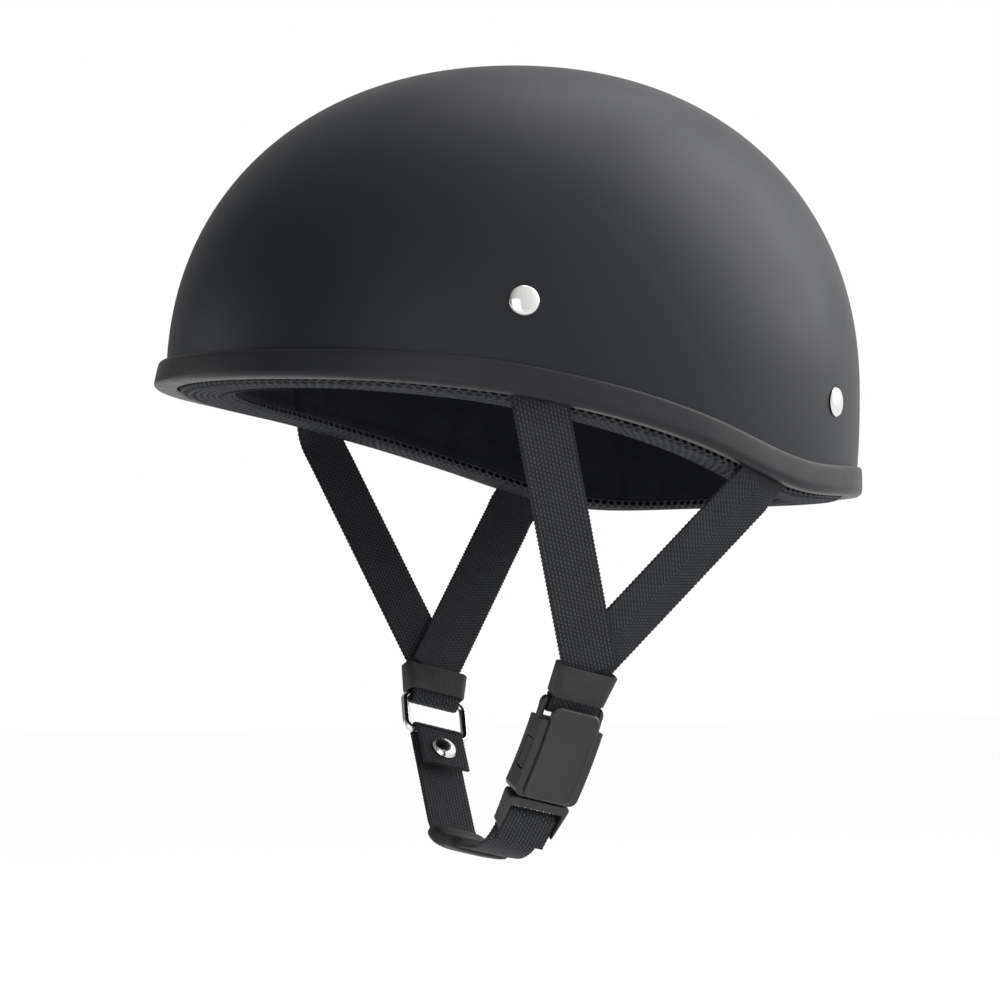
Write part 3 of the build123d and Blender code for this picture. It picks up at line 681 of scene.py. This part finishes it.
def ribbon(name, centre, normal, weave, body):
    """Webbing: P(u, x) = C(u) + x W(u) + (h(x) + a w(u, x)) N(u), with W = N x T, h an oval-edged section
    and w the weave."""
    half = WEB_WIDTH / 2
    along = run_length(centre)
    u = np.linspace(0, along[-1], int(along[-1] / WEAVE_STEP) + 2)
    line = np.stack([np.interp(u, along, centre[:, k]) for k in range(3)], -1)
    turn = np.stack([np.interp(u, along, normal[:, k]) for k in range(3)], -1)
    tangent = unit(np.gradient(line, axis=0))
    across = unit(np.cross(turn, tangent))
    out = unit(np.cross(tangent, across))
    share = np.linspace(-1, 1, 62)
    x = half * (0.65 * share + 0.35 * np.sin(share * 1.48) / math.sin(1.48))
    edge = np.clip((np.abs(x) - (half - SELVEDGE)) / SELVEDGE, 0, 1)
    thick = WEB_WALL / 2 * np.sqrt(1 - edge ** 2 * 0.97)
    pull = 1 + (np.abs(x) > half - 2 * SELVEDGE)[None] * 0.018 * np.cos(2 * math.pi * u[:, None] / 1.6)
    pattern = weave(u[:, None], x[None]) * (1 - edge[None] * 0.7)
    place = line[:, None] + across[:, None] * (x[None] * pull)[..., None]
    rise = out[:, None] * (thick[None] - WEAVE_RISE * (1 - pattern))[..., None]
    sections = np.concatenate([place + rise, (place - rise)[:, ::-1]], 1)
    piece = tube_piece(name, sections, None, "webbing", WEBBING)
    # Painted highlight on the weave's raised crests, less of it towards the selvedges
    add_painted_highlight(piece, np.concatenate([pattern, pattern[:, ::-1]], 1).ravel() ** 2 * 0.75)
    if body is not None:
        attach(piece, body)
    return piece


FOLD = {end: on_dome(*EXITS[end], WEB_DEPTH)[0] for end in EXITS}
FOLD_LINE = unit(FOLD["rear"] - FOLD["front"])
LEFT_BAR = in_strap((BAR_HALF_SPAN, -BAR_DROP))[0]
SIDE_NORMAL = unit(np.cross(FOLD_LINE, LEFT_BAR - FOLD["front"]))
SIDE_NORMAL = SIDE_NORMAL * np.sign(SIDE_NORMAL[0])
KEEPER_UP = unit(np.cross(STRAP_Z, SIDE_NORMAL))
KEEPER_UP = KEEPER_UP * np.sign(KEEPER_UP[2])
KEEPER_OUT = unit(np.cross(KEEPER_UP, STRAP_Z))
KEEPER_OUT = KEEPER_OUT * np.sign(KEEPER_OUT @ SIDE_NORMAL)
MIRROR = {"left": np.array([1, 1, 1]), "right": np.array([-1, 1, 1])}


def make_side_strap(side):
    """Front and rear legs from their rivets under the shell, over the fold line and into the keeper,
    and the fold round the bar."""
    flip = MIRROR[side]
    _, height, stand = KEEPERS[side]
    body = f"{side}_side"
    meeting = LEFT_BAR + KEEPER_UP * (stand + height / 2 + WEB_OVERLAP / 2)
    for end, sign, weave in (("front", 1, brick_weave), ("rear", -1, twill_weave)):
        (ry, rz), (ey, ez) = RIVETS[end], EXITS[end]
        reach = math.hypot(ry - ey, rz - ez)
        share = np.linspace(1 + WEB_END / reach, 0.09, 12)
        depth = np.full(len(share), WEB_DEPTH)
        above, above_normal = on_dome(ey + (ry - ey) * share, ez + (rz - ez) * share, depth)
        target = meeting + SIDE_NORMAL * LEG_SPLIT * sign
        run = target - FOLD[end]
        length = np.linalg.norm(run)
        step = np.concatenate([[0.035, 0.10, 0.22, 0.4, 0.6, 0.8, 0.93], [1 + 2.5 / length]])
        below = FOLD[end] + run * step[:, None]
        points = np.concatenate([above, below])
        normals = np.concatenate([above_normal, np.repeat(SIDE_NORMAL[None], len(below), 0)])
        line = smooth_line(points, 0.4)
        place = np.linspace(0, 1, len(line))
        chord = run_length(points)
        normal = np.stack([np.interp(place * chord[-1], chord, normals[:, k]) for k in range(3)], -1)
        piece = ribbon(f"{side}_{end}_leg", line * flip, normal * flip, weave, None)
        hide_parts(f"{side}_{end}_strap_end", f"{side}_strap")
        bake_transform(piece)
    top = stand + height / 2 - 1
    turn = np.linspace(0, math.pi, 26)
    lift = np.linspace(top, 0.4, 12)
    lean = LEG_SPLIT + (WEB_OFFSET - LEG_SPLIT) * (1 - lift / top)
    legs = np.stack([lean, lift], -1)
    loop = np.stack([WEB_OFFSET * np.cos(turn), -WEB_OFFSET * np.sin(turn)], -1)
    flat = np.concatenate([legs, loop, legs[::-1] * [-1, 1]])
    centre = LEFT_BAR + flat[:, :1] * KEEPER_OUT + flat[:, 1:] * KEEPER_UP
    slope = unit(np.gradient(flat, axis=0))
    normal = slope[:, 1:] * -KEEPER_OUT + slope[:, :1] * KEEPER_UP
    piece = ribbon(f"{side}_bar_loop", centre * flip, -normal * flip, brick_weave, body)
    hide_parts(f"{side}_strap")


def round_rectangle(half_a, half_b, corner, count):
    """Points evenly spaced round a rectangle of those half sides with round corners."""
    turn = np.linspace(0, math.pi / 2, 12)
    corners = []
    for k, (a, b) in enumerate(((1, 1), (-1, 1), (-1, -1), (1, -1))):
        middle = np.array([a * (half_a - corner), b * (half_b - corner)])
        angle = turn + k * math.pi / 2
        corners.append(middle + corner * np.stack([np.cos(angle), np.sin(angle)], -1))
    outline = np.concatenate(corners + [corners[0][:1]])
    length = run_length(outline)
    where = np.linspace(0, length[-1], count, endpoint=False)
    return np.stack([np.interp(where, length, outline[:, 0]), np.interp(where, length, outline[:, 1])], -1)


def make_keeper(side):
    """Ribbed band round both legs: a round-cornered loop in (thickness, width), narrower towards its top."""
    flip = MIRROR[side]
    width, height, stand = KEEPERS[side]
    count = KEEPER_RIBS * RIB_POINTS
    outer = round_rectangle(KEEPER_HALF, width / 2, KEEPER_CORNER, count)
    inner = round_rectangle(
        KEEPER_HALF - KEEPER_WALL, width / 2 - KEEPER_WALL, KEEPER_CORNER - KEEPER_WALL * 0.8, count)
    rib = 0.5 + 0.5 * np.cos(np.arange(count) * 2 * math.pi / RIB_POINTS)
    outer = outer + unit(outer) * (KEEPER_RIB * rib[:, None])
    low, high = stand - height / 2, stand + height / 2
    profile = [
        (1, low + 0.5), (1, low + height * 0.3), (1, low + height * 0.6), (1, high - 0.5),
        (0.75, high - 0.12), (0.5, high), (0.25, high - 0.12), (0, high - 0.5), (0, low + height / 2),
        (0, low + 0.5), (0.25, low + 0.12), (0.5, low), (0.75, low + 0.12),
    ]
    rows = []
    for mix, up in profile:
        loop = outer * mix + inner * (1 - mix)
        slim = 1.04 - 0.24 * (up - low) / height
        taper = 1 - KEEPER_TAPER / (width / 2) * (high - up) / height
        place = loop[:, :1] * slim * KEEPER_OUT + loop[:, 1:] * taper * STRAP_Z + up * KEEPER_UP
        rows.append(LEFT_BAR + place)
    points = np.stack(rows) * flip
    n, m = points.shape[:2]
    quads = grid_quads(n, m, True, True)
    piece = make_piece(f"{side}_keeper_band", points, quads, [], f"{side}_side", "keeper", RIBBED)
    weld(piece)
    # Painted highlight on the outward crests of the ribs
    add_painted_highlight(piece, np.tile(rib * 0.36, n))
    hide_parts(f"{side}_keeper")


def make_ring():
    """Nickel wire: the bar's circle carried round a rectangle with round corners."""
    upper = np.array([-BAR_HALF_SPAN, -BAR_DROP])
    slope = turned(-RING_SLOPE)
    pitch = RING_HEIGHT + 2 * BAR_RADIUS
    middle = in_strap(upper + slope * pitch / 2)[0]
    down = slope[0] * STRAP_X + slope[1] * STRAP_Y
    path = round_rectangle((RING_WIDTH + 2 * BAR_RADIUS) / 2, pitch / 2, RING_CORNER, 320)
    line = middle + path[:, :1] * STRAP_Z + path[:, 1:] * down
    tangent = unit(np.roll(line, -1, 0) - np.roll(line, 1, 0))
    normal = unit(np.cross(STRAP_Z, down))
    side = np.cross(tangent, normal)
    turn = full_turn(28)
    circle = np.cos(turn)[None, :, None] * normal[None, None] + np.sin(turn)[None, :, None] * side[:, None]
    points = line[:, None] + BAR_RADIUS * circle
    n, m = points.shape[:2]
    piece = make_piece("ring_wire", points, grid_quads(n, m, True, True), [], "ring", "nickel", NICKEL)
    weld(piece)
    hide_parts("ring")


def arc_angle(length):
    """Angle in degrees from +X at a place along the buckle's arc."""
    return -BUCKLE_TURN - math.degrees(length / ARC_RADIUS)


def on_arc(length, rise=0.0):
    """Point of the strap's plane beside the buckle's arc."""
    return ARC_CENTRE + turned(arc_angle(length)) * (ARC_RADIUS + rise)


UPPER_BAR = np.array([-BAR_HALF_SPAN, -BAR_DROP])
LOWER_BAR = UPPER_BAR + turned(-RING_SLOPE) * (RING_HEIGHT + 2 * BAR_RADIUS)
RUN, RUN_OUT = turned(-CHIN_SLOPE), turned(-CHIN_SLOPE - 90)


def arc_points(centre, radius, first, last, count):
    """Points of a circle from one angle to another, in degrees."""
    return np.array([centre + radius * turned(a) for a in np.linspace(first, last, count)])


def chin_line():
    """The chin webbing's middle line in its plane: straight runs and arcs that meet smoothly, in order."""
    start = LOWER_BAR + RUN_OUT * WEB_OFFSET
    drop = RIGHT_BEND * (1 - math.cos(math.radians(CHIN_SLOPE)))
    bend_in = start + RUN * ((start[1] + CHIN_DROP - drop) / math.sin(math.radians(CHIN_SLOPE)))
    bend_out = np.array([bend_in[0] + RIGHT_BEND * math.sin(math.radians(CHIN_SLOPE)), -CHIN_DROP])
    down = turned(arc_angle(PLUG_BAR) - 90)
    outward = turned(arc_angle(PLUG_BAR))
    bar = on_arc(PLUG_BAR)
    end = bar - outward * PLUG_OFFSET
    steep = math.degrees(math.atan2(-down[1], -down[0]))
    last_drop = LEFT_BEND * (1 - math.cos(math.radians(steep)))
    left_in = end + down * ((end[1] + CHIN_DROP - last_drop) / math.sin(math.radians(steep)))
    left_out = np.array([left_in[0] - LEFT_BEND * math.sin(math.radians(steep)), -CHIN_DROP])
    bar_angle = math.degrees(math.atan2(-outward[1], -outward[0]))
    right_centre = np.array([bend_out[0], -CHIN_DROP + RIGHT_BEND])
    left_centre = np.array([left_out[0], -CHIN_DROP + LEFT_BEND])
    tail = bar + outward * PLUG_OFFSET
    return {
        "fold": arc_points(LOWER_BAR, WEB_OFFSET, 45, 225, 24),
        "run": np.linspace(start, bend_in, 40),
        "bend": arc_points(right_centre, RIGHT_BEND, 270 - CHIN_SLOPE, 270, 41),
        "flat": np.linspace(bend_out, left_out, 21),
        "rise": arc_points(left_centre, LEFT_BEND, 270, 270 + steep, 24),
        "climb": np.linspace(left_in, end, 14),
        "round": arc_points(bar, PLUG_OFFSET, bar_angle, bar_angle - 180, 20),
        "tail": np.linspace(tail, tail + down * TAIL_LENGTH, 16),
    }


def plane_ribbon(name, flat, weave, body):
    """Webbing along a line of the strap's plane, its faces square to that plane."""
    keep = np.concatenate([[True], np.linalg.norm(np.diff(flat, axis=0), axis=1) > 1e-6])
    flat = flat[keep]
    slope = unit(np.gradient(flat, axis=0))
    normal = slope[:, 1:] * STRAP_X - slope[:, :1] * STRAP_Y
    return ribbon(name, in_strap(flat), normal, weave, body)


def make_chin_strap():
    """Chin webbing and its snapped flap."""
    line = chin_line()
    strap = plane_ribbon("chin_webbing", np.concatenate(list(line.values())), brick_weave, "chin")
    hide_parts("chin_strap")
    start = LOWER_BAR - RUN_OUT * WEB_OFFSET + RUN * FLAP_GAP
    flap_line = np.linspace(start, start + RUN * (FLAP_LENGTH - FLAP_GAP), 20)
    flap = plane_ribbon("snap_flap_webbing", flap_line, brick_weave, "flap")
    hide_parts("snap_flap")


def make_chin_pad():
    """Vinyl sleeve: a crowned section along the pad's stretch, slimmer at its ends,
    P = C(s) + x Z + h(s, x) N."""
    line = chin_line()
    bend, level = line["bend"], line["flat"]
    first, last = round((len(bend) - 1) * (1 - PAD_RISE)), round((len(level) - 1) * PAD_FLAT)
    flat = smooth_line(np.concatenate([bend[first:], level[1:last + 1]]), 0.5)
    slope = unit(np.gradient(flat, axis=0))
    centre = in_strap(flat)
    normal = slope[:, 1:] * STRAP_X - slope[:, :1] * STRAP_Y
    s = np.linspace(-1, 1, len(flat))
    ends = np.sqrt(np.maximum(1 - np.abs(s) ** 8, 0))
    turn = full_turn(84)
    power = 0.55
    across = np.sign(np.cos(turn)) * np.abs(np.cos(turn)) ** power
    high = np.sign(np.sin(turn)) * np.abs(np.sin(turn)) ** power
    seam = 1 - 0.10 * np.exp(-((np.abs(across) - 0.86) / 0.03) ** 2)
    half = (PAD_WIDTH / 2) * (0.80 + 0.20 * ends)
    inner = PAD_EDGE + (PAD_INNER + WEB_WALL / 2 - PAD_EDGE) * ends
    outer = PAD_EDGE + (PAD_OUTER + WEB_WALL / 2 - PAD_EDGE) * ends
    height = np.where(high[None] > 0, outer[:, None] * high[None], inner[:, None] * high[None]) * seam[None]
    side = (half[:, None] * across[None])[..., None] * STRAP_Z
    points = centre[:, None] + side + height[..., None] * normal[:, None]
    piece = tube_piece("chin_sleeve", points, "chin", "pad", VINYL)
    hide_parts("chin_pad")


def make_snap_cap():
    """Domed cap with a rolled edge and its stem, square to the flap."""
    centre = LOWER_BAR + RUN * SNAP_PLACE - RUN_OUT * (WEB_OFFSET + WEB_WALL / 2 + 0.1)
    axis = -RUN_OUT[0] * STRAP_X - RUN_OUT[1] * STRAP_Y
    angle = np.linspace(0, math.pi / 2, 12)[1:]
    head = [(CAP_RADIUS * 0.95 * math.sin(a), 0.5 + (CAP_RISE - 0.5) * math.cos(a)) for a in angle]
    profile = [(0, CAP_RISE)] + head + [
        (CAP_RADIUS, 0.4), (CAP_RADIUS, 0.15), (CAP_RADIUS * 0.96, 0.02), (CAP_STEM + 0.1, 0.02),
        (CAP_STEM, -0.1), (CAP_STEM, -1.8), (0, -1.8),
    ]
    piece = revolve_piece("snap_cap_nickel", profile, in_strap(centre)[0], axis, "flap", "nickel", NICKEL)
    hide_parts("snap_cap")


def make_buckle_panel():
    """Raised panel on the buckle's outer face: a round-cornered outline drawn in to its middle, with
    fine ribs inside and a beaded edge. Share s of the outline lies at P = arc(l + s a, h(s)) + s b Z."""
    middle = (PANEL_LOW - PANEL_TOP) / 2
    outline = round_rectangle((PANEL_TOP + PANEL_LOW) / 2, PANEL_HALF_WIDTH, PANEL_CORNER, 400)
    top = [(share, PANEL_FACE) for share in np.linspace(0.02, 0.86, 62)]
    bead = [(0.88, 0.0), (0.905, 0.3), (0.93, 0.42), (0.955, 0.34), (0.98, 0.05), (0.993, -0.3), (1.0, -0.75)]
    under = [(1.0, 0.2 - PANEL_FLOOR), (0.98, -PANEL_FLOOR), (0.5, -PANEL_FLOOR), (0.02, -PANEL_FLOOR)]
    profile = np.array(top + [(share, PANEL_FACE + rise) for share, rise in bead + under])
    along = middle + profile[:, :1] * outline[None, :, 0]
    across = profile[:, :1] * outline[None, :, 1]
    ribs = (0.5 + 0.5 * np.cos(2 * math.pi * along / PANEL_RIB)) * (profile[:, :1] < 0.87)
    rise = profile[:, 1:] - 0.10 * ribs
    angle = np.radians(-BUCKLE_TURN) - along / ARC_RADIUS
    flat = ARC_CENTRE + np.stack([np.cos(angle), np.sin(angle)], -1) * (ARC_RADIUS + rise)[..., None]
    points = in_strap(flat.reshape(-1, 2)).reshape(flat.shape[:2] + (3,)) + across[..., None] * STRAP_Z
    tube_piece("buckle_panel", points, "left_side", "buckle", PLASTIC)


def dress(node, material, voxel=None, steps=3):
    """Gives a CAD node its material, welds it and softens its edges without changing its own mesh."""
    piece = NODES[node]
    piece.data.materials.clear()
    piece.data.materials.append(material)
    piece.data.polygons.foreach_set("use_smooth", np.ones(len(piece.data.polygons), bool))
    modifier = piece.modifiers.new("weld", "WELD")
    modifier.merge_threshold = 1e-6
    if voxel is None:
        modifier = piece.modifiers.new("split", "EDGE_SPLIT")
        modifier.split_angle = math.radians(32)
        return piece
    modifier = piece.modifiers.new("remesh", "REMESH")
    modifier.mode = "VOXEL"
    modifier.voxel_size = voxel * MM
    modifier.use_smooth_shade = True
    modifier = piece.modifiers.new("soften", "SMOOTH")
    modifier.factor = 0.5
    modifier.iterations = steps
    return piece


make_shell()
make_trim()
make_mesh_band()
make_lining()
make_rivets()
for side in ("left", "right"):
    make_side_strap(side)
    make_keeper(side)
make_ring()
make_chin_strap()
make_chin_pad()
make_snap_cap()
make_buckle_panel()
dress("foam_liner", BEADS)
for side in ("left", "right"):
    for end in RIVETS:
        dress(f"{side}_{end}_washer", STEEL)
for node in ("snap_socket", "snap_stud", "snap_post"):
    dress(node, NICKEL)
for node in ("buckle_socket", "buckle_plug"):
    dress(node, PLASTIC, 0.28)
for node in ("front_release_arm", "rear_release_arm"):
    dress(node, PLASTIC, 0.2)


# Floor, lights and camera

def camera_glow(tree, weak, strong):
    """Value that is strong for rays from the camera and mirror and clear rays, and weak for the rest."""
    path = tree.nodes.new("ShaderNodeLightPath")
    most = path.outputs["Is Camera Ray"]
    for name in ("Is Glossy Ray", "Is Transmission Ray"):
        pick = tree.nodes.new("ShaderNodeMath")
        pick.operation = "MAXIMUM"
        tree.links.new(most, pick.inputs[0])
        tree.links.new(path.outputs[name], pick.inputs[1])
        most = pick.outputs[0]
    scale = tree.nodes.new("ShaderNodeMapRange")
    scale.inputs["To Min"].default_value = weak
    scale.inputs["To Max"].default_value = strong
    tree.links.new(most, scale.inputs["Value"])
    return scale.outputs["Result"]


def studio_light(tree):
    """World strength: white to the camera, else soft light that grows towards the rear left of the helmet."""
    where = tree.nodes.new("ShaderNodeTexCoord")
    side = tree.nodes.new("ShaderNodeVectorMath")
    side.operation = "DOT_PRODUCT"
    side.inputs[1].default_value = (0.42, 0.85, 0.25)
    tree.links.new(where.outputs["Generated"], side.inputs[0])
    scale = tree.nodes.new("ShaderNodeMapRange")
    for name, number in (("From Min", -0.6), ("From Max", 0.9), ("To Min", 0.2), ("To Max", 1.2)):
        scale.inputs[name].default_value = number
    tree.links.new(side.outputs["Value"], scale.inputs["Value"])
    path = tree.nodes.new("ShaderNodeLightPath")
    mix = tree.nodes.new("ShaderNodeMix")
    tree.links.new(path.outputs["Is Camera Ray"], mix.inputs["Factor"])
    tree.links.new(scale.outputs["Result"], mix.inputs["A"])
    mix.inputs["B"].default_value = 1.0
    return mix.outputs["Result"]


world = bpy.data.worlds.new("studio")
bpy.context.scene.world = world
world.use_nodes = True
background = world.node_tree.nodes["Background"]
background.inputs["Color"].default_value = (1, 1, 1, 1)
world.node_tree.links.new(studio_light(world.node_tree), background.inputs["Strength"])

# Floor, in metres
FLOOR_HEIGHT = -0.32
FLOOR_HALF = 5.0
floor_mesh = bpy.data.meshes.new("studio_floor")
corners = [(x * FLOOR_HALF, y * FLOOR_HALF, FLOOR_HEIGHT) for x, y in ((-1, -1), (1, -1), (1, 1), (-1, 1))]
floor_mesh.from_pydata(corners, [], [(0, 1, 2, 3)])
floor = bpy.data.objects.new("studio_floor", floor_mesh)
bpy.context.scene.collection.objects.link(floor)
pale = bpy.data.materials.new("studio_floor")
pale.use_nodes = True
tree = pale.node_tree
matte = tree.nodes["Principled BSDF"]
matte.inputs["Base Color"].default_value = (0.9, 0.9, 0.9, 1)
matte.inputs["Roughness"].default_value = 0.9
glow = tree.nodes.new("ShaderNodeEmission")
glow.inputs["Strength"].default_value = 1.02
mixer = tree.nodes.new("ShaderNodeMixShader")
tree.links.new(camera_glow(tree, 0.0, 0.9), mixer.inputs["Fac"])
tree.links.new(matte.outputs["BSDF"], mixer.inputs[1])
tree.links.new(glow.outputs["Emission"], mixer.inputs[2])
tree.links.new(mixer.outputs["Shader"], tree.nodes["Material Output"].inputs["Surface"])
floor_mesh.materials.append(pale)


def area_light(name, place, aim, size, power):
    """Square soft light of a size in metres at a place, facing a point."""
    light = bpy.data.lights.new(name, "AREA")
    light.shape = "RECTANGLE"
    light.size, light.size_y = size
    light.energy = power
    lamp = bpy.data.objects.new(name, light)
    bpy.context.scene.collection.objects.link(lamp)
    lamp.location = place
    lamp.rotation_euler = (Vector(aim) - Vector(place)).to_track_quat("-Z", "Y").to_euler()
    return lamp


area_light("top_soft", (-0.1, 0.6, 1.5), (0, 0.02, 0), (1.4, 1.2), 9)
area_light("rear_soft", (0.45, 1.6, 1.0), (0, 0.03, 0), (1.7, 1.7), 30)
area_light("front_soft", (1.2, -0.9, 0.1), (0, 0, -0.08), (0.9, 0.9), 3)
area_light("side_soft", (-0.75, -1.25, -0.05), (0, 0, -0.03), (0.9, 0.9), 3)

view = bpy.data.cameras.new("photo_view")
view.lens = 116.83
view.sensor_width = 36
view.clip_start = 0.05
camera = bpy.data.objects.new("photo_view", view)
bpy.context.scene.collection.objects.link(camera)
camera.location = Vector((1.086909, -0.539814, -0.082733))
camera.rotation_euler = Vector((-0.898674, 0.437245, 0.034456)).to_track_quat("-Z", "Y").to_euler()
bpy.context.scene.camera = camera
bpy.context.scene.view_settings.view_transform = "Standard"
